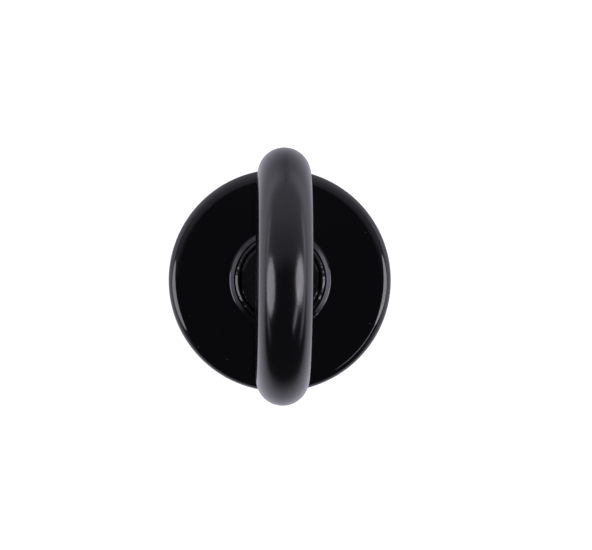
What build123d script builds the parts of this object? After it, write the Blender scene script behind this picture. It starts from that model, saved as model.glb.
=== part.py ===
from build123d import *

import os
from math import cos, pi, radians, sin

# Hand-held magnetic security tag detacher with a ring handle, in millimetres.
# It stands on its working face: the origin is the centre of the foot ring's underside, +Z runs
# up the axis to the handle, and the ring lies in the YZ plane.

# ---- driving dimensions -------------------------------------------------------------------
BODY_R = 20.0  # round aluminium body
BODY_TOP = 40.0  # flat top face
RING_R = 17.65  # centre line of the finger ring
RING_BAR_R = 4.55  # round bar of the ring
NEST_R = 8.0  # recess that the tag's lock dome goes into
COLLAR_R = 8.0  # round collar that the handle turns on
BOSS_R = 9.05  # foot of the low raised boss round the collar
JOURNAL_R = 3.5  # turned stem under the collar
STUD_R = 2.5  # M5 threaded end of the stem
SCREW_R = 1.25  # M2.5 cap screws
SCREW_COUNT = 3
SCREW_CIRCLE_R = 16.6
MAGNET_COUNT = 6  # arc magnets round the nest
MAGNET_GAP_DEG = 0.6  # between neighbouring arcs
MAGNET_START_DEG = -15.0  # where the first arc starts
CORE_R = 9.0  # disc magnet behind the pole piece

RUNNING_GAP = 0.05  # between pieces that turn on each other
SEAL_GAP = 0.1  # round the collar's seal
SLIP_GAP = 0.05  # between pieces that are dropped in
THREAD_GAP = 0.02  # between a thread and its nut
BREAK = 0.3  # small broken edge

# ---- heights, from the foot upwards -------------------------------------------------------
FOOT_DROP = 0.6  # how far the foot ring stands out of the cap
CAP_BOTTOM = FOOT_DROP
CAP_TOP = 5.0
GASKET_T = 0.6
BODY_BOTTOM = CAP_TOP + GASKET_T
CAP_POCKET = 3.0  # floor of the pocket that holds the magnets
NEST_WALL = 0.9
NEST_SHOULDER = 5.0  # where the straight wall of the nest ends and its cone starts
NEST_FLOOR = 8.4
NEST_ROOF = NEST_FLOOR + 1.0
NEST_FLOOR_R = 5.2
TIP_R = 3.5
TIP_BOTTOM = NEST_FLOOR + 0.2
RING_MAGNET_TOP = 10.6
CORE_BOTTOM = 13.2
CORE_TOP = 20.2
BACK_PLATE_TOP = 22.6
MAGNET_POCKET_TOP = 23.4
WEB_BOTTOM = 30.5
SHELF = 33.75
COLLAR_BOTTOM = 34.6
SEAL_LEDGE = 39.95
COLLAR_TOP = 40.6
BOSS_TOP = 40.7
RING_LIFT = 1.0  # gap between the top face and the ring
RING_CENTRE = BODY_TOP + RING_LIFT + RING_R + RING_BAR_R

# ---- radii worked out from the driving ones -----------------------------------------------
YOKE_R = 14.0
YOKE_BORE_R = 12.4
MAGNET_POCKET_R = YOKE_R + 0.1
NUT_POCKET_R = 7.5
COLLAR_BORE_R = COLLAR_R + 0.2
BOSS_CREST_R = 8.3  # outer edge of the boss's narrow flat top
BOSS_FOOT = 0.5  # hollow curve where the boss meets the top face
SEAL_LAND_R = 7.2
BUSH_R = 4.6
NECK_HALF_T = 4.2  # the neck is thinner than the bar, so it stays hidden behind the ring
NECK_FOOT_R = 6.6
NECK_WAIST_R = 5.05
NECK_HEAD_R = 5.45
TOP_EDGE = 2.0  # rounded rim of the top face
FOOT_IN_R = 10.4
FOOT_OUT_R = 13.4
FOOT_DEPTH = 1.0
SCREW_HEAD_R = 2.35
SCREW_HEAD_RIM = 0.2  # straight edge of the head, under its cone
SCREW_SUNK = 0.1  # how far the heads lie below the cap's face
THREAD_DEPTH = 6.4
DRIVE_R = 0.76  # circle of the six lobes
DRIVE_LOBE_R = 0.22
DRIVE_DEPTH = 1.0
DRIVE_PIN_R = 0.25
SCREW_LENGTH = 10.0
WASHER_T = 1.0
SPRING_GAP = 0.9  # room between the retaining washer and the web
WASHER_TOP = WEB_BOTTOM - SPRING_GAP
NUT_TOP = WASHER_TOP - WASHER_T
NUT_HEX_T = 2.6
NUT_H = 4.0
NUT_ACROSS_FLATS = 8.0
NUT_COLLAR_R = 3.7  # round end of the nut, which holds the nylon ring
INSERT_R = 3.2
INSERT_T = 0.9
SPRING_T = 0.35
SPRING_R = 5.8
WASHER_R = 6.0
STUD_END = NUT_TOP - NUT_H - 0.6


def turned(*outline, arc=360.0):
    """A solid turned about Z from a closed outline of (radius, height) points."""
    section = make_face(Polyline(*[(r, 0, z) for r, z in outline], close=True))
    return revolve(section, Axis.Z, revolution_arc=arc)


def tube(outer_r, inner_r, low, high, arc=360.0):
    """A plain ring about Z between two heights."""
    return turned((inner_r, low), (outer_r, low), (outer_r, high), (inner_r, high), arc=arc)


def rim(part, radius, height):
    """The round edges of a turned part at one radius and height."""
    return [
        e
        for e in part.edges().filter_by(GeomType.CIRCLE)
        if abs(e.radius - radius) < 1e-4 and abs(e.center().Z - height) < 1e-4
    ]


def screw_places():
    """The centres of the cap screws, on their circle."""
    step = 360.0 / SCREW_COUNT
    angles = [radians(90.0 + step * n) for n in range(SCREW_COUNT)]
    return [(SCREW_CIRCLE_R * cos(a), SCREW_CIRCLE_R * sin(a)) for a in angles]


def bar(radius, low, high, at=(0.0, 0.0)):
    """An upright cylinder between two heights."""
    place = Pos(at[0], at[1], low)
    return place * Cylinder(radius, high - low, align=(Align.CENTER, Align.CENTER, Align.MIN))


# ---- the body ------------------------------------------------------------------------------
def housing():
    """Turned body: magnet and nut pockets below, a web, and a low boss round the top recess."""
    body = turned(
        (MAGNET_POCKET_R, BODY_BOTTOM),
        (BODY_R, BODY_BOTTOM),
        (BODY_R, BODY_TOP),
        (BOSS_R, BODY_TOP),
        (BOSS_CREST_R, BOSS_TOP),
        (COLLAR_BORE_R, BOSS_TOP),
        (COLLAR_BORE_R, SHELF),
        (BUSH_R, SHELF),
        (BUSH_R, WEB_BOTTOM),
        (NUT_POCKET_R, WEB_BOTTOM),
        (NUT_POCKET_R, MAGNET_POCKET_TOP),
        (MAGNET_POCKET_R, MAGNET_POCKET_TOP),
    )
    body = fillet(rim(body, BODY_R, BODY_TOP), TOP_EDGE)
    body = fillet(rim(body, BOSS_R, BODY_TOP), BOSS_FOOT)
    body = chamfer(rim(body, BODY_R, BODY_BOTTOM), BREAK)
    for at in screw_places():
        body -= bar(SCREW_R, BODY_BOTTOM, BODY_BOTTOM + THREAD_DEPTH, at)
    return body


def swivel_bush():
    """Plain bronze bush pressed into the web, which the handle's stem turns in."""
    bush = tube(BUSH_R, JOURNAL_R + RUNNING_GAP, WEB_BOTTOM, SHELF)
    return chamfer(rim(bush, JOURNAL_R + RUNNING_GAP, SHELF), 0.25)


def thrust_washer():
    """Acetal washer on the shelf, under the collar."""
    return tube(COLLAR_R, JOURNAL_R + 0.3, SHELF, COLLAR_BOTTOM - RUNNING_GAP)


# ---- the working end -----------------------------------------------------------------------
def base_cap():
    """Moulded cap: tag nest, pocket for the magnets, groove for the foot ring and screw holes."""
    wall_r = NEST_R + NEST_WALL
    cap = turned(
        (NEST_R, CAP_BOTTOM),
        (BODY_R, CAP_BOTTOM),
        (BODY_R, CAP_TOP),
        (MAGNET_POCKET_R, CAP_TOP),
        (MAGNET_POCKET_R, CAP_POCKET),
        (wall_r, CAP_POCKET),
        (wall_r, NEST_SHOULDER + 0.4),
        (NEST_FLOOR_R + 0.3, NEST_ROOF),
        (TIP_R + 0.1, NEST_ROOF),
        (TIP_R + 0.1, NEST_FLOOR),
        (NEST_FLOOR_R, NEST_FLOOR),
        (NEST_R, NEST_SHOULDER),
    )
    cap = fillet(rim(cap, BODY_R, CAP_BOTTOM), 0.8)
    cap = chamfer(rim(cap, BODY_R, CAP_TOP), BREAK)
    cap = chamfer(rim(cap, NEST_R, CAP_BOTTOM), 0.5)
    cap -= tube(FOOT_OUT_R, FOOT_IN_R, CAP_BOTTOM, CAP_BOTTOM + FOOT_DEPTH)
    hole_r = SCREW_HEAD_R + SLIP_GAP
    cone_start = CAP_BOTTOM + SCREW_SUNK + SCREW_HEAD_RIM
    hole = turned((0, CAP_BOTTOM), (hole_r, CAP_BOTTOM), (hole_r, cone_start), (0, cone_start + hole_r))
    hole += bar(SCREW_R + SLIP_GAP, CAP_BOTTOM, CAP_TOP)
    for x, y in screw_places():
        cap -= Pos(x, y, 0) * hole
    return cap


def foot_ring():
    """Soft ring set in the cap's groove, which the detacher stands on."""
    ring = tube(FOOT_OUT_R - SLIP_GAP, FOOT_IN_R + SLIP_GAP, 0, CAP_BOTTOM + FOOT_DEPTH)
    edges = rim(ring, FOOT_OUT_R - SLIP_GAP, 0) + rim(ring, FOOT_IN_R + SLIP_GAP, 0)
    return fillet(edges, 0.45)


def cap_gasket():
    """Flat seal between cap and body, a little smaller than both."""
    seal = tube(BODY_R - 0.4, MAGNET_POCKET_R + 0.1, CAP_TOP, BODY_BOTTOM)
    for at in screw_places():
        seal -= bar(SCREW_R + 0.2, CAP_TOP, BODY_BOTTOM, at)
    return seal


def cap_screws():
    """Countersunk M2.5 screws with a six-lobed drive and a centre pin."""
    low = CAP_BOTTOM + SCREW_SUNK
    cone_start = low + SCREW_HEAD_RIM
    high = low + SCREW_LENGTH
    shank_r = SCREW_R - THREAD_GAP
    one = turned(
        (0, low),
        (SCREW_HEAD_R, low),
        (SCREW_HEAD_R, cone_start),
        (shank_r, cone_start + SCREW_HEAD_R - shank_r),
        (shank_r, high - BREAK),
        (shank_r - BREAK, high),
        (0, high),
    )
    drive = bar(DRIVE_R, low, low + DRIVE_DEPTH)
    for n in range(6):
        a = radians(60.0 * n)
        drive += bar(DRIVE_LOBE_R, low, low + DRIVE_DEPTH, (DRIVE_R * cos(a), DRIVE_R * sin(a)))
    one -= drive - bar(DRIVE_PIN_R, low, low + DRIVE_DEPTH)
    return Compound(children=[Pos(x, y, 0) * one for x, y in screw_places()])


# ---- the magnet stack ----------------------------------------------------------------------
def yoke_sleeve():
    """Soft-iron sleeve round the magnets, which also lines the cap up with the body."""
    sleeve = tube(YOKE_R, YOKE_BORE_R, CAP_POCKET + SLIP_GAP, CORE_TOP)
    return chamfer(rim(sleeve, YOKE_R, CAP_POCKET + SLIP_GAP), BREAK)


def ring_magnet(n):
    """One arc magnet of the ring round the nest."""
    step = 360.0 / MAGNET_COUNT
    inner_r = NEST_R + NEST_WALL + SLIP_GAP
    turn = step - MAGNET_GAP_DEG
    arc = tube(YOKE_BORE_R - SLIP_GAP, inner_r, CAP_POCKET + SLIP_GAP, RING_MAGNET_TOP, arc=turn)
    return Rot(0, 0, MAGNET_START_DEG + step * n + MAGNET_GAP_DEG / 2) * arc


def magnet_spacer():
    """Brass ring that keeps the arc magnets down and centres the pole piece."""
    return tube(YOKE_BORE_R - SLIP_GAP, CORE_R + SLIP_GAP, RING_MAGNET_TOP + SLIP_GAP, CORE_BOTTOM)


def pole_piece():
    """Soft-iron cone that gathers the field, with its tip in the nest's floor."""
    return turned(
        (0, TIP_BOTTOM),
        (TIP_R - 0.2, TIP_BOTTOM),
        (TIP_R, TIP_BOTTOM + 0.2),
        (TIP_R, NEST_ROOF + SLIP_GAP),
        (NEST_FLOOR_R + 0.4, NEST_ROOF + SLIP_GAP),
        (CORE_R, RING_MAGNET_TOP + 1.2),
        (CORE_R, CORE_BOTTOM),
        (0, CORE_BOTTOM),
    )


def core_magnet():
    """Disc magnet behind the pole piece."""
    disc = bar(CORE_R, CORE_BOTTOM, CORE_TOP)
    return chamfer(rim(disc, CORE_R, CORE_BOTTOM) + rim(disc, CORE_R, CORE_TOP), BREAK)


def core_sleeve():
    """Moulded sleeve that centres the disc magnet in the yoke."""
    return tube(YOKE_BORE_R - SLIP_GAP, CORE_R + SLIP_GAP, CORE_BOTTOM, CORE_TOP)


def back_plate():
    """Soft-iron disc that closes the magnetic circuit."""
    disc = bar(YOKE_R, CORE_TOP, BACK_PLATE_TOP)
    return chamfer(rim(disc, YOKE_R, BACK_PLATE_TOP), BREAK)


def cushion_ring():
    """Foam ring that takes up the play between the stack and the body."""
    return tube(YOKE_R - 0.3, NUT_POCKET_R + 0.8, BACK_PLATE_TOP, MAGNET_POCKET_TOP)


# ---- the handle ----------------------------------------------------------------------------
def ring_handle():
    """Cast ring, neck, collar, journal and threaded end in one piece."""
    ring = Pos(0, 0, RING_CENTRE) * Rot(0, 90, 0) * Torus(RING_R, RING_BAR_R)
    neck_top = RING_CENTRE - RING_R
    waist = COLLAR_TOP + 0.45 * (neck_top - COLLAR_TOP)
    sections = [
        Pos(0, 0, COLLAR_TOP) * Ellipse(RING_BAR_R, NECK_FOOT_R),
        Pos(0, 0, waist) * Ellipse(NECK_HALF_T, NECK_WAIST_R),
        Pos(0, 0, neck_top) * Ellipse(NECK_HALF_T, NECK_HEAD_R),
    ]
    neck = loft(sections)
    stem = turned(
        (0, STUD_END),
        (STUD_R - 0.5, STUD_END),
        (STUD_R, STUD_END + 0.5),
        (STUD_R, WASHER_TOP),
        (JOURNAL_R, WASHER_TOP),
        (JOURNAL_R, COLLAR_BOTTOM),
        (COLLAR_R, COLLAR_BOTTOM),
        (COLLAR_R, SEAL_LEDGE),
        (SEAL_LAND_R, SEAL_LEDGE),
        (SEAL_LAND_R, COLLAR_TOP - BREAK),
        (SEAL_LAND_R - BREAK, COLLAR_TOP),
        (0, COLLAR_TOP),
    )
    return ring + neck + stem


def collar_seal():
    """Rubber ring round the collar, which keeps grease in and dust out."""
    section_r = (COLLAR_BORE_R - SEAL_LAND_R) / 2 - SEAL_GAP
    middle_r = (COLLAR_BORE_R + SEAL_LAND_R) / 2
    return Pos(0, 0, SEAL_LEDGE + section_r) * Torus(middle_r, section_r)


def disc_spring():
    """Coned spring washer under the web, which stops the handle from rattling."""
    low = WASHER_TOP
    rise = SPRING_GAP - SPRING_T - RUNNING_GAP
    inner_r = JOURNAL_R + 0.2
    return turned(
        (inner_r, low + rise),
        (SPRING_R, low),
        (SPRING_R, low + SPRING_T),
        (inner_r, low + rise + SPRING_T),
    )


def retaining_washer():
    """Steel washer clamped against the journal's shoulder."""
    return tube(WASHER_R, STUD_R + 0.1, NUT_TOP, WASHER_TOP)


def lock_nut():
    """M5 lock nut: hexagon above, round collar with the nylon ring below."""
    bottom = NUT_TOP - NUT_H
    hexagon_r = NUT_ACROSS_FLATS / 2 / cos(pi / 6)
    hexagon = extrude(Pos(0, 0, NUT_TOP - NUT_HEX_T) * RegularPolygon(hexagon_r, 6), NUT_HEX_T)
    corner_cut = turned(
        (0, NUT_TOP - NUT_HEX_T),
        (hexagon_r, NUT_TOP - NUT_HEX_T),
        (hexagon_r, NUT_TOP - BREAK),
        (hexagon_r - 0.6, NUT_TOP),
        (0, NUT_TOP),
    )
    nut = (hexagon & corner_cut) + bar(NUT_COLLAR_R, bottom, NUT_TOP - NUT_HEX_T)
    nut -= bar(STUD_R + THREAD_GAP, bottom, NUT_TOP)
    return nut - bar(INSERT_R, bottom + BREAK, bottom + BREAK + INSERT_T)


def nut_insert():
    """Nylon ring held in the lock nut."""
    low = NUT_TOP - NUT_H + BREAK + THREAD_GAP
    return tube(INSERT_R - THREAD_GAP, STUD_R + THREAD_GAP, low, low + INSERT_T - 2 * THREAD_GAP)


PARTS = {
    "housing": housing,
    "swivel_bush": swivel_bush,
    "thrust_washer": thrust_washer,
    "base_cap": base_cap,
    "foot_ring": foot_ring,
    "cap_gasket": cap_gasket,
    "cap_screws": cap_screws,
    "yoke_sleeve": yoke_sleeve,
    "magnet_spacer": magnet_spacer,
    "pole_piece": pole_piece,
    "core_magnet": core_magnet,
    "core_sleeve": core_sleeve,
    "back_plate": back_plate,
    "cushion_ring": cushion_ring,
    "ring_handle": ring_handle,
    "collar_seal": collar_seal,
    "disc_spring": disc_spring,
    "retaining_washer": retaining_washer,
    "lock_nut": lock_nut,
    "nut_insert": nut_insert,
}

os.makedirs("parts", exist_ok=True)
for name, make in PARTS.items():
    export_step(make(), f"parts/{name}.step")
for number in range(MAGNET_COUNT):
    export_step(ring_magnet(number), f"parts/ring_magnet_{number + 1}.step")
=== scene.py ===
import math

import bmesh
import bpy
import numpy as np
from mathutils import Matrix, Vector, noise


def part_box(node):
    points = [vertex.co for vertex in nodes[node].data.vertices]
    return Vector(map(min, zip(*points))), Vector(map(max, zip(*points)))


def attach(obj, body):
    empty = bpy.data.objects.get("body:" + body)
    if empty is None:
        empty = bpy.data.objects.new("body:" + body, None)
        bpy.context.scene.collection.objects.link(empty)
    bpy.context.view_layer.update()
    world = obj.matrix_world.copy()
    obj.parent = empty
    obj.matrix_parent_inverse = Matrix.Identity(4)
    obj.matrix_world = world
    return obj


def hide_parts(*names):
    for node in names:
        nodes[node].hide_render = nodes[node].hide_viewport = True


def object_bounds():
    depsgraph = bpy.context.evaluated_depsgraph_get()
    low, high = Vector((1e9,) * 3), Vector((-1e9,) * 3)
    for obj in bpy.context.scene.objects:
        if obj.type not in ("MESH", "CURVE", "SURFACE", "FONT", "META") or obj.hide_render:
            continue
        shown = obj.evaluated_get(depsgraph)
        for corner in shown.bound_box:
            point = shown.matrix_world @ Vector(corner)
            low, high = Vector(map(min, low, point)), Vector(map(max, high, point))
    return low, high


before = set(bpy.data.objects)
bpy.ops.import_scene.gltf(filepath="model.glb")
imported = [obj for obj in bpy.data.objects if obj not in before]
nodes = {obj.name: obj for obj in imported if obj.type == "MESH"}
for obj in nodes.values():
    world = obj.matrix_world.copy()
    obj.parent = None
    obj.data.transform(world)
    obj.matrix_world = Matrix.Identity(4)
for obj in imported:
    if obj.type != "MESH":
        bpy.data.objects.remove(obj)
cad_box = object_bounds()


# ---- Housing -------------------------------------------------------------------------------
# The body is turned from aluminium bar, polished, and sprayed with gloss black two-pack lacquer.
# Its top carries a low boss round the handle's collar, and its bottom takes the three cap screws.
MM = 0.001  # a millimetre in Blender's metres


def linear(colour):
    """Linear light from an sRGB hex colour."""
    channels = [int(colour[i : i + 2], 16) / 255 for i in (1, 3, 5)]
    return [c / 12.92 if c <= 0.04045 else ((c + 0.055) / 1.055) ** 2.4 for c in channels] + [1.0]


def add(tree, kind, inputs=None, **settings):
    """Adds a node with its settings. An input is a value, or the output socket that feeds it."""
    node = tree.nodes.new(kind)
    for name, value in settings.items():
        setattr(node, name, value)
    for name, value in (inputs or {}).items():
        if isinstance(value, bpy.types.NodeSocket):
            tree.links.new(value, node.inputs[name])
        else:
            node.inputs[name].default_value = value
    return node


def new_material(name):
    """An empty node material, and the object coordinates that its patterns are laid out in."""
    material = bpy.data.materials.new(name)
    material.use_nodes = True
    tree = material.node_tree
    tree.nodes.clear()
    place = add(tree, "ShaderNodeTexCoord").outputs["Object"]
    return material, tree, place


def finish_material(tree, inputs, height, depth_mm):
    """Ends a material with one shader over a relief that is depth_mm deep."""
    relief = add(tree, "ShaderNodeBump", {"Height": height, "Strength": 1.0, "Distance": depth_mm * MM})
    shader = add(tree, "ShaderNodeBsdfPrincipled", {**inputs, "Normal": relief.outputs["Normal"]})
    add(tree, "ShaderNodeOutputMaterial", {"Surface": shader.outputs["BSDF"]})


def coat(material, *names):
    """Gives CAD nodes their material."""
    for name in names:
        mesh = nodes[name].data
        mesh.materials.clear()
        mesh.materials.append(material)


def gloss_black_lacquer():
    """Two-pack lacquer over polished aluminium: deep black, hard gloss, a faint orange-peel ripple.
    Settled dust shows as tiny grey specks, drawn a little coarser than real dust so that they show."""
    ripple_mm = 1.8
    ripple_depth_mm = 0.0012
    haze_mm = 9
    dust_spacing_mm = 1.1
    dust_mm = 0.26
    dust_edge = 0.2  # how much of a speck is its soft edge
    material, tree, place = new_material("gloss_black_lacquer")
    ripple = add(tree, "ShaderNodeTexNoise", {"Vector": place, "Scale": 1 / (ripple_mm * MM), "Detail": 1.0})
    haze = add(tree, "ShaderNodeTexNoise", {"Vector": place, "Scale": 1 / (haze_mm * MM), "Detail": 3.0})
    cells = add(tree, "ShaderNodeTexVoronoi", {"Vector": place, "Scale": 1 / (dust_spacing_mm * MM)})
    largest = dust_mm / dust_spacing_mm / 2
    size = add(
        tree,
        "ShaderNodeMapRange",
        {"Value": cells.outputs["Color"], "From Min": 0.55, "To Min": 0.0, "To Max": largest},
    )
    reach = add(
        tree,
        "ShaderNodeMath",
        {0: size.outputs["Result"], 1: cells.outputs["Distance"]},
        operation="SUBTRACT",
    )
    speck = add(
        tree,
        "ShaderNodeMapRange",
        {"Value": reach.outputs["Value"], "From Max": dust_edge * dust_mm / dust_spacing_mm},
    )
    colour = add(
        tree,
        "ShaderNodeMix",
        {"Factor": speck.outputs["Result"], "A": linear("#040405"), "B": linear("#58565c")},
        data_type="RGBA",
    )
    sheen = add(tree, "ShaderNodeMapRange", {"Value": haze.outputs["Fac"], "To Min": 0.045, "To Max": 0.1})
    rough = add(
        tree,
        "ShaderNodeMix",
        {"Factor": speck.outputs["Result"], "A": sheen.outputs["Result"], "B": 0.6},
        data_type="FLOAT",
    )
    inputs = {"Base Color": colour.outputs["Result"], "Roughness": rough.outputs["Result"], "IOR": 1.5}
    finish_material(tree, inputs, ripple.outputs["Fac"], ripple_depth_mm)
    return material


coat(gloss_black_lacquer(), "housing")


# ---- Swivel bush ---------------------------------------------------------------------------
# A plain bearing pressed into the housing's web, sintered from bronze powder and filled with oil.
# The sinter leaves it evenly pitted, and the oil darkens the pits.
def sintered_bronze():
    """Bronze powder pressed and sintered: warm brown metal, dull, peppered with pores."""
    pore_mm = 0.28
    oil_mm = 2.5
    material, tree, place = new_material("sintered_bronze")
    pores = add(tree, "ShaderNodeTexVoronoi", {"Vector": place, "Scale": 1 / (pore_mm * MM)})
    oil = add(tree, "ShaderNodeTexNoise", {"Vector": place, "Scale": 1 / (oil_mm * MM), "Detail": 2.0})
    colour = add(
        tree,
        "ShaderNodeMix",
        {"Factor": pores.outputs["Distance"], "A": linear("#5e4126"), "B": linear("#b98a55")},
        data_type="RGBA",
    )
    rough = add(tree, "ShaderNodeMapRange", {"Value": oil.outputs["Fac"], "To Min": 0.3, "To Max": 0.5})
    inputs = {"Base Color": colour.outputs["Result"], "Metallic": 1.0, "Roughness": rough.outputs["Result"]}
    finish_material(tree, inputs, pores.outputs["Distance"], 0.02)
    return material


coat(sintered_bronze(), "swivel_bush")


# ---- Thrust washer -------------------------------------------------------------------------
# A white acetal ring on the shelf, which the handle's collar turns on.
# It is parted off a turned rod, so its faces keep the fine circles of the tool.
def tool_marks(tree, place, feed_mm):
    """The height of the circles that a lathe tool leaves about the axis, one every feed_mm."""
    away = add(tree, "ShaderNodeVectorMath", {0: place, 1: (1, 1, 0)}, operation="MULTIPLY")
    radius = add(tree, "ShaderNodeVectorMath", {0: away.outputs["Vector"]}, operation="LENGTH")
    axis = add(tree, "ShaderNodeSeparateXYZ", {"Vector": place})
    travel = add(tree, "ShaderNodeMath", {0: radius.outputs["Value"], 1: axis.outputs["Z"]}, operation="ADD")
    turns = add(
        tree,
        "ShaderNodeMath",
        {0: travel.outputs["Value"], 1: math.tau / (feed_mm * MM)},
        operation="MULTIPLY",
    )
    wave = add(tree, "ShaderNodeMath", {0: turns.outputs["Value"]}, operation="SINE")
    return wave.outputs["Value"]


def turned_acetal():
    """Natural acetal: milky white, waxy, with a soft sheen."""
    cloud_mm = 4
    feed_mm = 0.12
    light_depth_mm = 1.5
    material, tree, place = new_material("turned_acetal")
    cloud = add(tree, "ShaderNodeTexNoise", {"Vector": place, "Scale": 1 / (cloud_mm * MM), "Detail": 2.0})
    colour = add(
        tree,
        "ShaderNodeMix",
        {"Factor": cloud.outputs["Fac"], "A": linear("#e2ded3"), "B": linear("#f1efe8")},
        data_type="RGBA",
    )
    rough = add(tree, "ShaderNodeMapRange", {"Value": cloud.outputs["Fac"], "To Min": 0.3, "To Max": 0.42})
    inputs = {
        "Base Color": colour.outputs["Result"],
        "Roughness": rough.outputs["Result"],
        "IOR": 1.48,
        "Subsurface Weight": 0.2,
        "Subsurface Radius": (1.0, 0.9, 0.8),
        "Subsurface Scale": light_depth_mm * MM,
    }
    finish_material(tree, inputs, tool_marks(tree, place, feed_mm), 0.002)
    return material


coat(turned_acetal(), "thrust_washer")


# ---- Ring handle ---------------------------------------------------------------------------
# A zinc casting: finger ring, neck and collar in one, stove-enamelled in satin black.
# The neck flows into the ring in soft fillets. The stem is turned, and its end is threaded M5.
handle_low, handle_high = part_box("ring_handle")
BAR_R = 4.55
RING_OUT_R = (handle_high.y - handle_low.y) / 2 / MM
RING_R = RING_OUT_R - BAR_R
RING_CENTRE = handle_high.z / MM - RING_OUT_R
NECK_HALF_X = 3.75  # thinner than the bar, so that the ring hides it from above
NECK_HALF_Y = 5.1
LAND_R = 7.2  # step on the collar that the seal sits round
LAND_TOP = 40.6
SEAL_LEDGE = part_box("collar_seal")[0].z / MM
COLLAR_BOTTOM = 34.6
COLLAR_R = 8.0
JOURNAL_R = 3.5
JOURNAL_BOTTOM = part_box("retaining_washer")[1].z / MM
STUD_R = 2.5
STUD_END = handle_low.z / MM
EDGE = 0.15  # rounded corners of the turned collar
NECK_FILLET = 1.5  # reach of the soft fillet between the ring and the neck
LAND_FILLET = 1.1  # and of the one at the neck's foot


def melt(a, b, reach):
    """The nearer of two distances in mm, with a fillet where they are within reach of each other."""
    near = np.maximum(reach - np.abs(a - b), 0) / reach
    return np.minimum(a, b) - near * near * reach / 4


def cast_shape(points):
    """Distance in mm from the cast surface: the ring, its neck, and the land that the neck stands on."""
    x, y, z = points.T
    ring = np.hypot(np.hypot(y, z - RING_CENTRE) - RING_R, x) - BAR_R
    out = np.hypot(x / NECK_HALF_X, y / NECK_HALF_Y)
    column = out * (out - 1) / np.hypot(x / NECK_HALF_X**2, y / NECK_HALF_Y**2)
    neck = np.maximum(column, z - (RING_CENTRE - RING_R))
    outside = np.hypot(x, y) - (LAND_R - EDGE)
    above = np.abs(z - SEAL_LEDGE) - (LAND_TOP - SEAL_LEDGE - EDGE)
    corner = np.hypot(np.maximum(outside, 0), np.maximum(above, 0))
    land = corner + np.minimum(np.maximum(outside, above), 0) - EDGE
    return melt(melt(ring, neck, NECK_FILLET), land, LAND_FILLET)


def settle(points):
    """Moves points along the slope of the shape until they lie on the cast surface."""
    reach = 0.01
    steps = 6
    for _ in range(steps):
        slope = [
            cast_shape(points + reach * axis) - cast_shape(points - reach * axis) for axis in np.eye(3)
        ]
        slope = np.array(slope).T / (2 * reach)
        points = points - slope * (cast_shape(points) / (slope**2).sum(axis=1))[:, None]
    return points


def skin(name, rings, closed=False):
    """A mesh through rings of points in mm, each joined to the next. Open ends are capped."""
    count = len(rings[0])
    faces = []
    for n in range(len(rings) if closed else len(rings) - 1):
        here = n * count
        after = (n + 1) % len(rings) * count
        for i in range(count):
            beside = (i + 1) % count
            faces.append((here + i, here + beside, after + beside, after + i))
    if not closed:
        faces.append(tuple(range(count)))
        faces.append(tuple(range(len(rings) * count - count, len(rings) * count)))
    mesh = bpy.data.meshes.new(name)
    mesh.from_pydata([point for ring in rings for point in ring], [], faces)
    shell = bmesh.new()
    shell.from_mesh(mesh)
    bmesh.ops.recalc_face_normals(shell, faces=shell.faces)
    shell.to_mesh(mesh)
    shell.free()
    return mesh


def circle(radius, height, count, half_x=1.0):
    """A level ring of points, squeezed along X where half_x is under 1."""
    turns = [math.tau * n / count for n in range(count)]
    return [(radius * half_x * math.cos(a), radius * math.sin(a), height) for a in turns]


def finished(piece):
    """The mesh that a piece's modifiers make."""
    bpy.context.view_layer.update()
    return bpy.data.meshes.new_from_object(piece.evaluated_get(bpy.context.evaluated_depsgraph_get()))


def casting():
    """The ring, neck and land as one skin of even squares, drawn tight on to the cast surface."""
    skin_mm = 0.42
    ring_steps = 128
    bar_steps = 32
    evening_passes = 8
    section = [math.tau * k / bar_steps for k in range(bar_steps)]
    torus = []
    for n in range(ring_steps):
        up = Vector((0, math.sin(math.tau * n / ring_steps), math.cos(math.tau * n / ring_steps)))
        centre = Vector((0, 0, RING_CENTRE)) + up * RING_R
        torus.append([centre + BAR_R * (up * math.cos(a) + Vector((math.sin(a), 0, 0))) for a in section])
    squeeze = NECK_HALF_X / NECK_HALF_Y
    pedestal = [
        circle(LAND_R, 2 * SEAL_LEDGE - LAND_TOP, bar_steps),
        circle(LAND_R, LAND_TOP, bar_steps),
        circle(NECK_HALF_Y, LAND_TOP, bar_steps, squeeze),
        circle(NECK_HALF_Y, RING_CENTRE - RING_R, bar_steps, squeeze),
    ]
    both = bmesh.new()
    for part in (skin("torus", torus, closed=True), skin("pedestal", pedestal)):
        both.from_mesh(part)
    rough_mesh = bpy.data.meshes.new("rough_casting")
    both.to_mesh(rough_mesh)
    both.free()
    rough = bpy.data.objects.new("rough_casting", rough_mesh)
    bpy.context.scene.collection.objects.link(rough)
    squares = rough.modifiers.new("squares", "REMESH")
    squares.mode = "VOXEL"
    squares.voxel_size = skin_mm
    mesh = finished(rough)
    bpy.data.objects.remove(rough)
    pairs = np.array([edge.vertices[:] for edge in mesh.edges])
    pairs = np.concatenate([pairs, pairs[:, ::-1]])
    neighbours = np.bincount(pairs[:, 0])[:, None]
    points = settle(np.array([vertex.co[:] for vertex in mesh.vertices]))
    for _ in range(evening_passes):
        total = np.zeros_like(points)
        np.add.at(total, pairs[:, 0], points[pairs[:, 1]])
        points = settle((points + total / neighbours) / 2)
    mesh.vertices.foreach_set("co", points.ravel())
    return mesh


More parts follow.
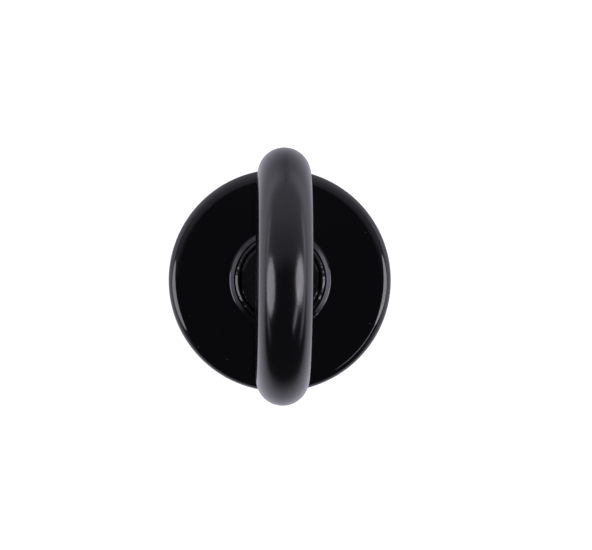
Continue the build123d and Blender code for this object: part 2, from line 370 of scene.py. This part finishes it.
def stem():
    """The turned part: collar, journal, and the stud with its thread."""
    steps = 96
    pitch = 0.8
    thread_depth = 0.45
    rows_a_turn = 10
    lead_in = 0.5
    first_thread = 0.8  # how much of its full radius the thread starts at
    flank_slope = 1.25
    crest_flat = 0.12
    rings = [circle(STUD_R - lead_in, STUD_END, steps)]
    rows = int((JOURNAL_BOTTOM - STUD_END - lead_in) / pitch * rows_a_turn)
    for row in range(rows):
        height = STUD_END + lead_in / 2 + row * pitch / rows_a_turn
        grown = min(1.0, first_thread + (1 - first_thread) * row / rows_a_turn)
        ring = []
        for n in range(steps):
            turn = n / steps
            flank = abs((height / pitch - turn) % 1 - 0.5) * 2
            cut = min(1.0, max(0.0, flank_slope * flank - crest_flat))
            radius = STUD_R * grown - thread_depth * cut
            ring.append((radius * math.cos(math.tau * turn), radius * math.sin(math.tau * turn), height))
        rings.append(ring)
    outline = [
        (STUD_R - thread_depth, JOURNAL_BOTTOM - 0.2),
        (STUD_R - thread_depth, JOURNAL_BOTTOM),
        (JOURNAL_R - EDGE, JOURNAL_BOTTOM),
        (JOURNAL_R, JOURNAL_BOTTOM + EDGE),
        (JOURNAL_R, COLLAR_BOTTOM),
        (COLLAR_R - EDGE, COLLAR_BOTTOM),
        (COLLAR_R, COLLAR_BOTTOM + EDGE),
        (COLLAR_R, SEAL_LEDGE - EDGE),
        (COLLAR_R - EDGE, SEAL_LEDGE),
    ]
    return skin("stem", rings + [circle(radius, height, steps) for radius, height in outline])


def satin_black_enamel():
    """Stove enamel on cast zinc: satin black, with a very fine grain that softens every highlight."""
    grain_mm = 0.28
    wear_mm = 7
    material, tree, place = new_material("satin_black_enamel")
    grain = add(tree, "ShaderNodeTexNoise", {"Vector": place, "Scale": 1 / (grain_mm * MM), "Detail": 2.0})
    wear = add(tree, "ShaderNodeTexNoise", {"Vector": place, "Scale": 1 / (wear_mm * MM), "Detail": 4.0})
    colour = add(
        tree,
        "ShaderNodeMix",
        {"Factor": wear.outputs["Fac"], "A": linear("#040405"), "B": linear("#09090b")},
        data_type="RGBA",
    )
    rough = add(tree, "ShaderNodeMapRange", {"Value": wear.outputs["Fac"], "To Min": 0.12, "To Max": 0.24})
    inputs = {"Base Color": colour.outputs["Result"], "Roughness": rough.outputs["Result"], "IOR": 1.52}
    finish_material(tree, inputs, grain.outputs["Fac"], 0.01)
    return material


def make_piece(name, mesh, material, body, replaced):
    """Puts a mesh in mm into the scene in place of a CAD node."""
    crease_deg = 35
    mesh.transform(Matrix.Scale(MM, 4))
    mesh.shade_smooth()
    mesh.set_sharp_from_angle(angle=math.radians(crease_deg))
    mesh.materials.clear()
    mesh.materials.append(material)
    piece = bpy.data.objects.new(name, mesh)
    bpy.context.scene.collection.objects.link(piece)
    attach(piece, body)
    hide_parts(replaced)


def cast_handle():
    """The casting and its stem, joined into one solid."""
    upper = bpy.data.objects.new("upper", casting())
    lower = bpy.data.objects.new("lower", stem())
    for part in (upper, lower):
        bpy.context.scene.collection.objects.link(part)
    union = upper.modifiers.new("union", "BOOLEAN")
    union.operation = "UNION"
    union.solver = "EXACT"
    union.object = lower
    mesh = finished(upper)
    for part in (upper, lower):
        bpy.data.objects.remove(part)
    enamel = satin_black_enamel()
    make_piece("cast_handle", mesh, enamel, "handle", "ring_handle")


cast_handle()


# ---- Collar seal ---------------------------------------------------------------------------
# A nitrile rubber ring that closes the gap round the collar. The grease that it holds in has
# been squeezed up over it, so what shows is a wet, lumpy bead.
def greased_nitrile():
    """Black rubber under a film of grease: very dark, with broken wet glints."""
    smear_mm = 0.7
    material, tree, place = new_material("greased_nitrile")
    smear = add(tree, "ShaderNodeTexNoise", {"Vector": place, "Scale": 1 / (smear_mm * MM), "Detail": 3.0})
    colour = add(
        tree,
        "ShaderNodeMix",
        {"Factor": smear.outputs["Fac"], "A": linear("#060607"), "B": linear("#141315")},
        data_type="RGBA",
    )
    rough = add(tree, "ShaderNodeMapRange", {"Value": smear.outputs["Fac"], "To Min": 0.02, "To Max": 0.22})
    inputs = {"Base Color": colour.outputs["Result"], "Roughness": rough.outputs["Result"], "IOR": 1.47}
    finish_material(tree, inputs, smear.outputs["Fac"], 0.03)
    return material


def greased_seal():
    """The seal as a bead that swells and thins on its way round."""
    steps = 420
    bead_steps = 20
    lump_mm = 0.9
    grease_mm = 0.11
    clear_mm = 0.05  # how far the bead is set in, so that the grease stays off the housing's bore
    fullness = 0.94
    unevenness = 0.14
    wipe_turn = math.radians(57)  # the grease is wiped to a slope that faces up and outwards
    wipe_half = math.radians(33)
    seal_low, seal_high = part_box("collar_seal")
    rubber_r = (seal_high.z - seal_low.z) / 2 / MM
    middle_r = seal_high.x / MM - rubber_r - clear_mm
    section_r = rubber_r + grease_mm
    rings = []
    for n in range(steps):
        out = Vector((math.cos(math.tau * n / steps), math.sin(math.tau * n / steps), 0))
        centre = out * middle_r + Vector((0, 0, seal_low.z / MM + rubber_r + grease_mm / 2))
        ring = []
        for k in range(bead_steps):
            a = math.tau * k / bead_steps
            way = out * math.cos(a) + Vector((0, 0, math.sin(a)))
            lump = noise.noise((centre + way * section_r) / lump_mm) + 0.5 * noise.noise(centre * 3 / lump_mm)
            wiped = math.cos(wipe_half) / max(math.cos(wipe_half), math.cos(a - wipe_turn))
            swell = fullness + unevenness * min(0.4, max(-1.0, lump))
            ring.append(centre + way * section_r * wiped * swell)
        rings.append(ring)
    mesh = skin("greased_seal", rings, closed=True)
    make_piece("greased_seal", mesh, greased_nitrile(), "handle", "collar_seal")


greased_seal()


# ---- Disc spring ---------------------------------------------------------------------------
# A coned washer punched from spring steel, which takes up the play under the housing's web.
# It is phosphated and oiled against rust.
def phosphated_spring_steel():
    """Crystals of phosphate over steel: charcoal, finely mottled, with an oily sheen."""
    crystal_mm = 0.15
    material, tree, place = new_material("phosphated_spring_steel")
    crystals = add(tree, "ShaderNodeTexVoronoi", {"Vector": place, "Scale": 1 / (crystal_mm * MM)})
    colour = add(
        tree,
        "ShaderNodeMix",
        {"Factor": crystals.outputs["Distance"], "A": linear("#2a2a2c"), "B": linear("#4a4a4c")},
        data_type="RGBA",
    )
    rough = add(
        tree, "ShaderNodeMapRange", {"Value": crystals.outputs["Distance"], "To Min": 0.32, "To Max": 0.5}
    )
    inputs = {"Base Color": colour.outputs["Result"], "Metallic": 0.8, "Roughness": rough.outputs["Result"]}
    finish_material(tree, inputs, crystals.outputs["Distance"], 0.006)
    return material


coat(phosphated_spring_steel(), "disc_spring")


# ---- Retaining washer and lock nut -----------------------------------------------------------
# Zinc-plated steel. The washer bears on the spring, and the M5 nut clamps it to the journal's
# shoulder. Both are stock hardware with a clear blue passivation.
def bright_zinc_plate():
    """Electroplated zinc with blue passivation: silvery, faintly blue and straw by turns."""
    tint_mm = 3.0
    grain_mm = 0.15
    material, tree, place = new_material("bright_zinc_plate")
    tint = add(tree, "ShaderNodeTexNoise", {"Vector": place, "Scale": 1 / (tint_mm * MM), "Detail": 2.0})
    grain = add(tree, "ShaderNodeTexNoise", {"Vector": place, "Scale": 1 / (grain_mm * MM), "Detail": 2.0})
    colour = add(
        tree,
        "ShaderNodeMix",
        {"Factor": tint.outputs["Fac"], "A": linear("#b9c3d2"), "B": linear("#d0ccbb")},
        data_type="RGBA",
    )
    rough = add(tree, "ShaderNodeMapRange", {"Value": grain.outputs["Fac"], "To Min": 0.2, "To Max": 0.36})
    inputs = {"Base Color": colour.outputs["Result"], "Metallic": 1.0, "Roughness": rough.outputs["Result"]}
    finish_material(tree, inputs, grain.outputs["Fac"], 0.003)
    return material


coat(bright_zinc_plate(), "retaining_washer", "lock_nut")


# ---- Nut insert ----------------------------------------------------------------------------
# A moulded nylon ring, dyed blue and crimped into the lock nut's end.
# It grips the stem's thread, so that the nut can't shake off.
def blue_nylon():
    """Moulded nylon dyed blue: slightly waxy, with a fine moulded texture."""
    texture_mm = 0.3
    material, tree, place = new_material("blue_nylon")
    texture = add(
        tree, "ShaderNodeTexNoise", {"Vector": place, "Scale": 1 / (texture_mm * MM), "Detail": 3.0}
    )
    colour = add(
        tree,
        "ShaderNodeMix",
        {"Factor": texture.outputs["Fac"], "A": linear("#1f4fae"), "B": linear("#3166c8")},
        data_type="RGBA",
    )
    rough = add(tree, "ShaderNodeMapRange", {"Value": texture.outputs["Fac"], "To Min": 0.35, "To Max": 0.5})
    inputs = {"Base Color": colour.outputs["Result"], "Roughness": rough.outputs["Result"], "IOR": 1.53}
    finish_material(tree, inputs, texture.outputs["Fac"], 0.006)
    return material


coat(blue_nylon(), "nut_insert")


# ---- Cushion ring --------------------------------------------------------------------------
# A ring of grey open-cell foam over the magnet stack. It is squashed as the cap is screwed on,
# and stops the stack from knocking.
def open_cell_foam():
    """Polyurethane foam: matt grey, with painted shade darkening the hollow of each cell."""
    cell_mm = 0.45
    material, tree, place = new_material("open_cell_foam")
    cells = add(
        tree,
        "ShaderNodeTexVoronoi",
        {"Vector": place, "Scale": 1 / (cell_mm * MM)},
        feature="DISTANCE_TO_EDGE",
    )
    wall = add(tree, "ShaderNodeMapRange", {"Value": cells.outputs["Distance"], "From Max": 0.25})
    # painted shade: the colour darkens towards the middle of each cell, where the relief is lowest
    colour = add(
        tree,
        "ShaderNodeMix",
        {"Factor": wall.outputs["Result"], "A": linear("#8a8b8d"), "B": linear("#3c3d3f")},
        data_type="RGBA",
    )
    rough = add(tree, "ShaderNodeMapRange", {"Value": wall.outputs["Result"], "To Min": 0.8, "To Max": 0.95})
    inputs = {"Base Color": colour.outputs["Result"], "Roughness": rough.outputs["Result"]}
    depth = add(tree, "ShaderNodeMath", {0: 1.0, 1: wall.outputs["Result"]}, operation="SUBTRACT")
    finish_material(tree, inputs, depth.outputs["Value"], 0.08)
    return material


coat(open_cell_foam(), "cushion_ring")


# ---- Soft-iron circuit -----------------------------------------------------------------------
# The yoke sleeve, the back plate and the pole piece carry the field round the magnets.
# All three are turned from low-carbon steel bar and left bare under a film of oil.
def turned_soft_iron():
    """Bare low-carbon steel: mid grey, with bright circles from the lathe and dull oily patches."""
    feed_mm = 0.16
    oil_mm = 4.5
    material, tree, place = new_material("turned_soft_iron")
    oil = add(tree, "ShaderNodeTexNoise", {"Vector": place, "Scale": 1 / (oil_mm * MM), "Detail": 4.0})
    colour = add(
        tree,
        "ShaderNodeMix",
        {"Factor": oil.outputs["Fac"], "A": linear("#76757a"), "B": linear("#a3a2a1")},
        data_type="RGBA",
    )
    rough = add(tree, "ShaderNodeMapRange", {"Value": oil.outputs["Fac"], "To Min": 0.22, "To Max": 0.42})
    inputs = {"Base Color": colour.outputs["Result"], "Metallic": 1.0, "Roughness": rough.outputs["Result"]}
    finish_material(tree, inputs, tool_marks(tree, place, feed_mm), 0.003)
    return material


coat(turned_soft_iron(), "yoke_sleeve", "back_plate", "pole_piece")


# ---- Magnets -------------------------------------------------------------------------------
# Six neodymium arcs round the nest and one neodymium disc behind the pole piece.
# The sintered blocks are tumbled and nickel-plated, because the bare alloy rusts.
def nickel_plate():
    """Nickel on a tumbled block: bright, slightly warm, with a soft peened ripple."""
    ripple_mm = 0.8
    material, tree, place = new_material("nickel_plate")
    ripple = add(tree, "ShaderNodeTexNoise", {"Vector": place, "Scale": 1 / (ripple_mm * MM), "Detail": 3.0})
    colour = add(
        tree,
        "ShaderNodeMix",
        {"Factor": ripple.outputs["Fac"], "A": linear("#bdb5a8"), "B": linear("#d3ccc0")},
        data_type="RGBA",
    )
    rough = add(tree, "ShaderNodeMapRange", {"Value": ripple.outputs["Fac"], "To Min": 0.12, "To Max": 0.26})
    inputs = {"Base Color": colour.outputs["Result"], "Metallic": 1.0, "Roughness": rough.outputs["Result"]}
    finish_material(tree, inputs, ripple.outputs["Fac"], 0.004)
    return material


arcs = [name for name in nodes if name.startswith("ring_magnet_")]
coat(nickel_plate(), "core_magnet", *arcs)


# ---- Core sleeve ---------------------------------------------------------------------------
# A plain sleeve that centres the disc magnet in the yoke.
# It is moulded in nylon and left in its natural colour.
def natural_nylon():
    """Undyed nylon: cream, slightly translucent, with the fine bloom of a moulding."""
    bloom_mm = 1.2
    light_depth_mm = 1.0
    material, tree, place = new_material("natural_nylon")
    bloom = add(tree, "ShaderNodeTexNoise", {"Vector": place, "Scale": 1 / (bloom_mm * MM), "Detail": 4.0})
    colour = add(
        tree,
        "ShaderNodeMix",
        {"Factor": bloom.outputs["Fac"], "A": linear("#d9d0b8"), "B": linear("#e9e3d2")},
        data_type="RGBA",
    )
    rough = add(tree, "ShaderNodeMapRange", {"Value": bloom.outputs["Fac"], "To Min": 0.38, "To Max": 0.52})
    inputs = {
        "Base Color": colour.outputs["Result"],
        "Roughness": rough.outputs["Result"],
        "IOR": 1.53,
        "Subsurface Weight": 0.15,
        "Subsurface Radius": (1.0, 0.85, 0.6),
        "Subsurface Scale": light_depth_mm * MM,
    }
    finish_material(tree, inputs, bloom.outputs["Fac"], 0.006)
    return material


coat(natural_nylon(), "core_sleeve")


# ---- Magnet spacer -------------------------------------------------------------------------
# A turned brass ring that keeps the arc magnets down and centres the pole piece.
# Brass isn't magnetic, so the field stays out of the gap beside the pole piece.
def turned_brass():
    """Free-cutting brass: yellow, with bright lathe circles and a trace of tarnish."""
    feed_mm = 0.1
    tarnish_mm = 3
    material, tree, place = new_material("turned_brass")
    tarnish = add(
        tree, "ShaderNodeTexNoise", {"Vector": place, "Scale": 1 / (tarnish_mm * MM), "Detail": 4.0}
    )
    colour = add(
        tree,
        "ShaderNodeMix",
        {"Factor": tarnish.outputs["Fac"], "A": linear("#a8813a"), "B": linear("#d8b463")},
        data_type="RGBA",
    )
    rough = add(tree, "ShaderNodeMapRange", {"Value": tarnish.outputs["Fac"], "To Min": 0.2, "To Max": 0.34})
    inputs = {"Base Color": colour.outputs["Result"], "Metallic": 1.0, "Roughness": rough.outputs["Result"]}
    finish_material(tree, inputs, tool_marks(tree, place, feed_mm), 0.002)
    return material


coat(turned_brass(), "magnet_spacer")


# ---- Cap gasket ----------------------------------------------------------------------------
# A flat seal die-cut from nitrile sheet and clamped between the cap and the housing.
# Only its edge shows, as a line round the body.
def nitrile_sheet():
    """Calendered rubber sheet: matt black, faintly dusty, with a fine even tooth."""
    tooth_mm = 0.25
    material, tree, place = new_material("nitrile_sheet")
    tooth = add(tree, "ShaderNodeTexNoise", {"Vector": place, "Scale": 1 / (tooth_mm * MM), "Detail": 3.0})
    colour = add(
        tree,
        "ShaderNodeMix",
        {"Factor": tooth.outputs["Fac"], "A": linear("#0e0e0f"), "B": linear("#1d1d1e")},
        data_type="RGBA",
    )
    rough = add(tree, "ShaderNodeMapRange", {"Value": tooth.outputs["Fac"], "To Min": 0.6, "To Max": 0.8})
    inputs = {"Base Color": colour.outputs["Result"], "Roughness": rough.outputs["Result"], "IOR": 1.52}
    finish_material(tree, inputs, tooth.outputs["Fac"], 0.02)
    return material


coat(nitrile_sheet(), "cap_gasket")


# ---- Base cap ------------------------------------------------------------------------------
# Injection-moulded in black glass-filled nylon. It holds the tag nest, the magnets and the foot.
# The tool is spark-eroded, which gives the faces an even fine matt texture.
def moulded_black_nylon():
    """Glass-filled nylon from a spark-eroded tool: charcoal black, matt, with a fine even grain."""
    grain_mm = 0.3
    rub_mm = 6
    material, tree, place = new_material("moulded_black_nylon")
    grain = add(tree, "ShaderNodeTexNoise", {"Vector": place, "Scale": 1 / (grain_mm * MM), "Detail": 4.0})
    rub = add(tree, "ShaderNodeTexNoise", {"Vector": place, "Scale": 1 / (rub_mm * MM), "Detail": 3.0})
    colour = add(
        tree,
        "ShaderNodeMix",
        {"Factor": rub.outputs["Fac"], "A": linear("#0b0b0c"), "B": linear("#151516")},
        data_type="RGBA",
    )
    rough = add(tree, "ShaderNodeMapRange", {"Value": rub.outputs["Fac"], "To Min": 0.38, "To Max": 0.58})
    inputs = {"Base Color": colour.outputs["Result"], "Roughness": rough.outputs["Result"], "IOR": 1.53}
    finish_material(tree, inputs, grain.outputs["Fac"], 0.018)
    return material


coat(moulded_black_nylon(), "base_cap")


# ---- Cap screws ----------------------------------------------------------------------------
# Three countersunk M2.5 screws in stainless steel, with a pinned six-lobe drive.
# Their faces keep the fine circles of the header, about each screw's own axis.
def stainless_steel():
    """A2 stainless: cool grey, with concentric marks on each head and a slight smear of grease."""
    feed_mm = 0.14
    smear_mm = 0.9
    screw_count = 3
    screw_circle_mm = 16.6
    first_deg = 90
    material, tree, place = new_material("stainless_steel")
    smear = add(tree, "ShaderNodeTexNoise", {"Vector": place, "Scale": 1 / (smear_mm * MM), "Detail": 3.0})
    flat = add(tree, "ShaderNodeVectorMath", {0: place, 1: (1, 1, 0)}, operation="MULTIPLY")
    nearest = None
    for number in range(screw_count):
        turn = math.radians(first_deg + 360 / screw_count * number)
        centre = Vector((math.cos(turn), math.sin(turn), 0)) * screw_circle_mm * MM
        away = add(
            tree, "ShaderNodeVectorMath", {0: flat.outputs["Vector"], 1: centre}, operation="DISTANCE"
        ).outputs["Value"]
        if nearest:
            away = add(tree, "ShaderNodeMath", {0: nearest, 1: away}, operation="MINIMUM").outputs["Value"]
        nearest = away
    turns = add(tree, "ShaderNodeMath", {0: nearest, 1: math.tau / (feed_mm * MM)}, operation="MULTIPLY")
    marks = add(tree, "ShaderNodeMath", {0: turns.outputs["Value"]}, operation="SINE")
    colour = add(
        tree,
        "ShaderNodeMix",
        {"Factor": smear.outputs["Fac"], "A": linear("#8f8f8f"), "B": linear("#b9b8b6")},
        data_type="RGBA",
    )
    rough = add(tree, "ShaderNodeMapRange", {"Value": smear.outputs["Fac"], "To Min": 0.2, "To Max": 0.38})
    inputs = {"Base Color": colour.outputs["Result"], "Metallic": 1.0, "Roughness": rough.outputs["Result"]}
    finish_material(tree, inputs, marks.outputs["Value"], 0.003)
    return material


coat(stainless_steel(), "cap_screws")


# ---- Foot ring -----------------------------------------------------------------------------
# A moulded rubber ring pushed into the cap's groove, which keeps the detacher from sliding.
# The detacher stands on it, so it picks up dust from the counter.
def moulded_foot_rubber():
    """Soft EPDM: dark grey, dull, with a dusty tooth where it has stood on counters."""
    tooth_mm = 0.4
    dust_mm = 1.1
    material, tree, place = new_material("moulded_foot_rubber")
    tooth = add(tree, "ShaderNodeTexNoise", {"Vector": place, "Scale": 1 / (tooth_mm * MM), "Detail": 4.0})
    dust = add(tree, "ShaderNodeTexNoise", {"Vector": place, "Scale": 1 / (dust_mm * MM), "Detail": 5.0})
    settled = add(
        tree, "ShaderNodeMapRange", {"Value": dust.outputs["Fac"], "From Min": 0.45, "From Max": 0.75}
    )
    colour = add(
        tree,
        "ShaderNodeMix",
        {"Factor": settled.outputs["Result"], "A": linear("#1a1a1b"), "B": linear("#2b2b2b")},
        data_type="RGBA",
    )
    rough = add(tree, "ShaderNodeMapRange", {"Value": tooth.outputs["Fac"], "To Min": 0.7, "To Max": 0.9})
    inputs = {"Base Color": colour.outputs["Result"], "Roughness": rough.outputs["Result"], "IOR": 1.5}
    finish_material(tree, inputs, tooth.outputs["Fac"], 0.03)
    return material


coat(moulded_foot_rubber(), "foot_ring")


# ---- Studio --------------------------------------------------------------------------------
# A white light tent on a pale table, with a softbox each side and a strip light at the front right.
# The tent is open above and in front, where it is dark.
STAGE_CENTRE = Vector((0, 0, 0.05))


def softbox(name, off_axis_deg, towards_deg, distance, across, high, radiance):
    """An oval of light that faces the object, unseen by the camera. Its first angle is from straight up."""
    tilt = math.radians(off_axis_deg)
    turn = math.radians(towards_deg)
    away = Vector((math.sin(tilt) * math.cos(turn), math.sin(tilt) * math.sin(turn), math.cos(tilt)))
    level = Vector((0, 0, 1)).cross(away).normalized()
    light = bpy.data.lights.new(name, "AREA")
    light.shape = "ELLIPSE"
    light.size = across
    light.size_y = high
    light.energy = math.pi * radiance * across * high * math.pi / 4
    light.color = linear("#f7f4ff")[:3]
    panel = bpy.data.objects.new(name, light)
    panel.visible_camera = False
    panel.location = STAGE_CENTRE + away * distance
    panel.rotation_euler = Matrix((level, away.cross(level), away)).transposed().to_euler()
    bpy.context.scene.collection.objects.link(panel)


softbox("left_softbox", 65.5, 188, 0.60, 0.39, 0.41, 4.5)
softbox("right_softbox", 58, -4, 0.60, 0.34, 0.40, 5.4)
softbox("right_strip", 54, -32, 0.70, 0.50, 0.07, 4.5)


def light_tent():
    """White walls, dark above and in front, with a bright band low down at each side."""
    tip = math.radians(60)
    opening = Vector((0, -math.sin(tip), math.cos(tip)))
    world = bpy.data.worlds.new("light_tent")
    world.use_nodes = True
    tree = world.node_tree
    tree.nodes.clear()
    place = add(tree, "ShaderNodeTexCoord").outputs["Generated"]
    facing = add(tree, "ShaderNodeVectorMath", {0: place, 1: opening}, operation="DOT_PRODUCT")
    towards = facing.outputs["Value"]
    side = add(tree, "ShaderNodeSeparateXYZ", {"Vector": place})
    ramps = [
        (towards, 0.48, 0.12, 0.07, 0.44),
        (towards, 0.1, -0.6, 0.0, 0.36),
        (side.outputs["X"], 0.72, 0.94, 0.0, 2.2),
        (side.outputs["X"], -0.72, -0.94, 0.0, 1.5),
        (side.outputs["Z"], 0.0, 0.2, 1.0, 0.0),
    ]
    levels = []
    for value, start, end, first, last in ramps:
        ramp = add(
            tree,
            "ShaderNodeMapRange",
            {"Value": value, "From Min": start, "From Max": end, "To Min": first, "To Max": last},
            interpolation_type="SMOOTHSTEP",
        )
        levels.append(ramp.outputs["Result"])
    outside, far, right, left, low = levels
    wall = add(tree, "ShaderNodeMath", {0: outside, 1: far}, operation="ADD").outputs["Value"]
    sides = add(tree, "ShaderNodeMath", {0: right, 1: left}, operation="ADD").outputs["Value"]
    band = add(tree, "ShaderNodeMath", {0: sides, 1: low}, operation="MULTIPLY").outputs["Value"]
    lit = add(tree, "ShaderNodeMath", {0: wall, 1: band}, operation="ADD").outputs["Value"]
    seen = add(tree, "ShaderNodeLightPath").outputs["Is Camera Ray"]
    strength = add(tree, "ShaderNodeMix", {"Factor": seen, "A": lit, "B": 1.0}, data_type="FLOAT")
    tint = add(
        tree,
        "ShaderNodeMix",
        {"Factor": seen, "A": linear("#f1eeff"), "B": linear("#ffffff")},
        data_type="RGBA",
    )
    back = add(
        tree,
        "ShaderNodeBackground",
        {"Color": tint.outputs["Result"], "Strength": strength.outputs["Result"]},
    )
    add(tree, "ShaderNodeOutputWorld", {"Surface": back.outputs["Background"]})
    bpy.context.scene.world = world


light_tent()


def table_glow(tree, place):
    """The light that the table throws up: most beside the object, less behind, little in front."""
    near = add(tree, "ShaderNodeVectorMath", {0: place}, operation="LENGTH").outputs["Value"]
    apart = add(tree, "ShaderNodeVectorMath", {0: place}, operation="ABSOLUTE").outputs["Vector"]
    beside = add(tree, "ShaderNodeSeparateXYZ", {"Vector": apart}).outputs["X"]
    depth = add(tree, "ShaderNodeSeparateXYZ", {"Vector": place}).outputs["Y"]
    front_pool = add(tree, "ShaderNodeVectorMath", {0: place, 1: (0, -0.07, 0)}, operation="DISTANCE")
    ramps = [
        (beside, -0.1, 0.25, 0.0, 1.3),
        (near, 0.15, 0.8, 1.0, 0.5),
        (depth, -0.18, -0.02, 0.0, 1.0),
        (depth, 0.0, 0.4, 0.06, 0.42),
        (front_pool.outputs["Value"], 0.02, 0.22, 0.45, 0.0),
    ]
    levels = []
    for value, start, end, first, last in ramps:
        ramp = add(
            tree,
            "ShaderNodeMapRange",
            {"Value": value, "From Min": start, "From Max": end, "To Min": first, "To Max": last},
            interpolation_type="SMOOTHSTEP",
        )
        levels.append(ramp.outputs["Result"])
    sides, fading, not_front, behind, front = levels
    pools = add(tree, "ShaderNodeMath", {0: sides, 1: fading}, operation="MULTIPLY").outputs["Value"]
    pools = add(tree, "ShaderNodeMath", {0: pools, 1: not_front}, operation="MULTIPLY").outputs["Value"]
    around = add(tree, "ShaderNodeMath", {0: pools, 1: behind}, operation="ADD").outputs["Value"]
    return add(tree, "ShaderNodeMath", {0: around, 1: front}, operation="ADD").outputs["Value"]


def pale_floor():
    """The table top, a big pale sheet. The camera sees it evenly white, and the object sees its glow."""
    half = 6.0
    fibre_mm = 2
    corners = [(-half, -half, 0), (half, -half, 0), (half, half, 0), (-half, half, 0)]
    mesh = bpy.data.meshes.new("floor")
    mesh.from_pydata(corners, [], [(0, 1, 2, 3)])
    floor = bpy.data.objects.new("floor", mesh)
    floor.location.z = cad_box[0][2] - 0.02 * MM
    bpy.context.scene.collection.objects.link(floor)
    material, tree, place = new_material("pale_table_top")
    material.cycles.emission_sampling = "NONE"
    seen = add(tree, "ShaderNodeLightPath").outputs["Is Camera Ray"]
    glow = add(
        tree,
        "ShaderNodeMix",
        {"Factor": seen, "A": table_glow(tree, place), "B": 0.85},
        data_type="FLOAT",
    )
    colour = add(
        tree,
        "ShaderNodeMix",
        {"Factor": seen, "A": linear("#000000"), "B": linear("#c8c8ca")},
        data_type="RGBA",
    )
    tint = add(
        tree,
        "ShaderNodeMix",
        {"Factor": seen, "A": linear("#f1eeff"), "B": linear("#ffffff")},
        data_type="RGBA",
    )
    fibre = add(tree, "ShaderNodeTexNoise", {"Vector": place, "Scale": 1 / (fibre_mm * MM), "Detail": 2.0})
    inputs = {
        "Base Color": colour.outputs["Result"],
        "Roughness": 0.9,
        "Specular IOR Level": 0.0,
        "Emission Color": tint.outputs["Result"],
        "Emission Strength": glow.outputs["Result"],
    }
    finish_material(tree, inputs, fibre.outputs["Fac"], 0.01)
    mesh.materials.append(material)


pale_floor()


# ---- Camera --------------------------------------------------------------------------------
# It looks almost straight down the body's axis, from a little in front and to the left.
# A long lens from half a metre keeps the ring and the body below it in proportion.
CAMERA_DISTANCE = 543.4 * MM
LEAN_X_DEG = -1.4
LEAN_Y_DEG = -1.48
ROLL_DEG = 0.42
LENS_MM = 192.3
AIM_RIGHT = 2.18
AIM_BACK = 0.29
ring_middle = Vector((0, 0, RING_CENTRE)) * MM
aim = ring_middle + Vector((AIM_RIGHT, AIM_BACK, 0)) * MM
lean = Vector((math.tan(math.radians(LEAN_X_DEG)), math.tan(math.radians(LEAN_Y_DEG)), 1))
camera_data = bpy.data.cameras.new("camera")
camera_data.lens = LENS_MM
camera_data.sensor_width = 36
camera = bpy.data.objects.new("camera", camera_data)
camera.location = ring_middle + lean.normalized() * CAMERA_DISTANCE
backwards = (camera.location - aim).normalized()
upright = Vector((-math.tan(math.radians(ROLL_DEG)), 1, 0))
right = upright.cross(backwards).normalized()
camera.rotation_euler = Matrix((right, backwards.cross(right), backwards)).transposed().to_euler()
bpy.context.scene.collection.objects.link(camera)
bpy.context.scene.camera = camera
bpy.context.scene.view_settings.view_transform = "Standard"
